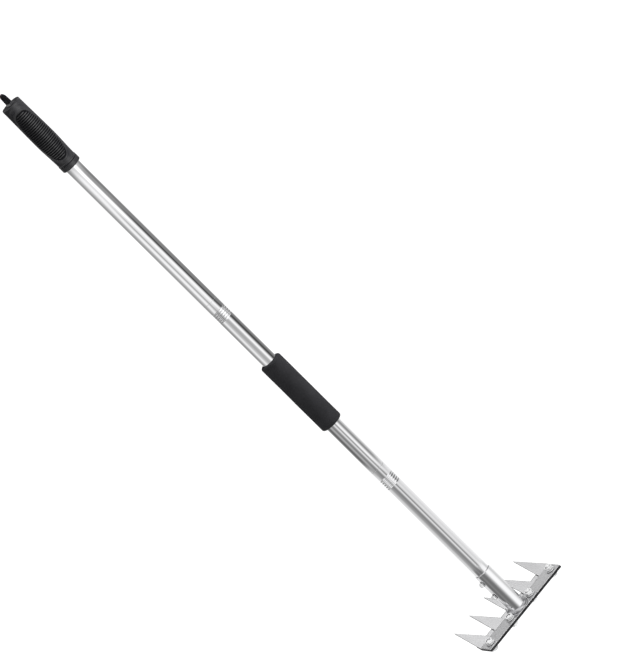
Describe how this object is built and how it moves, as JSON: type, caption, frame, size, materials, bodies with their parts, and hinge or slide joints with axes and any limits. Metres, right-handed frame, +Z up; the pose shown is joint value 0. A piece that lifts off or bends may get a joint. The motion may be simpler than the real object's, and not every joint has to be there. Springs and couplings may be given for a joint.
{
  "type": "weeding rake",
  "caption": "Long-handled weeding rake: pointed steel teeth on a bolted two-sheet bar, with a socket, a screwed sectional pole, a foam sleeve and a ribbed top grip with a hang tab.",
  "frame": {"origin": "centre of the hang hole in the top grip's tab", "axes": "+Z up along the pole with the tool hanging from its tab, +X along the head's bar, teeth towards -Y"},
  "size_m": [0.195, 0.0978, 1.2408],
  "materials": {
    "brushed_steel": "brushed along the bar, grained along the teeth",
    "polished_steel": "polished tube, mirror-like",
    "thread_steel": "plain rolled thread",
    "weld_steel": "dark glossy weld bead",
    "zinc": "bright zinc plated",
    "foam": "matte black foam",
    "moulded": "black moulded grip, satin"
  },
  "bodies": {
    "upper_section": {"handle_grip": "moulded", "upper_pole": "polished_steel", "upper_thread_sleeve": "thread_steel"},
    "middle_section": {"middle_pole": "polished_steel", "lower_thread_sleeve": "thread_steel", "foam_grip": "foam"},
    "lower_section": {"lower_pole": "polished_steel", "socket_tube": "polished_steel", "socket_weld": "weld_steel", "socket_screw_upper": "zinc", "socket_screw_lower": "zinc", "tooth_plate": "brushed_steel", "backing_plate": "brushed_steel", "clamp_bolt_1": "zinc", "clamp_bolt_2": "zinc", "clamp_bolt_3": "zinc", "clamp_bolt_4": "zinc", "clamp_nut_1": "zinc", "clamp_nut_2": "zinc", "clamp_nut_3": "zinc", "clamp_nut_4": "zinc"}
  },
  "joints": [
    {"name": "upper_screw_joint", "type": "hinge", "parent": "upper_section", "child": "middle_section", "pos_m": [0, 0, -0.4815], "axis": [0, 0, -1], "range_deg": [0, 1710]},
    {"name": "lower_screw_joint", "type": "hinge", "parent": "middle_section", "child": "lower_section", "pos_m": [0, 0, -0.8785], "axis": [0, 0, -1], "range_deg": [0, 1710]}
  ]
}
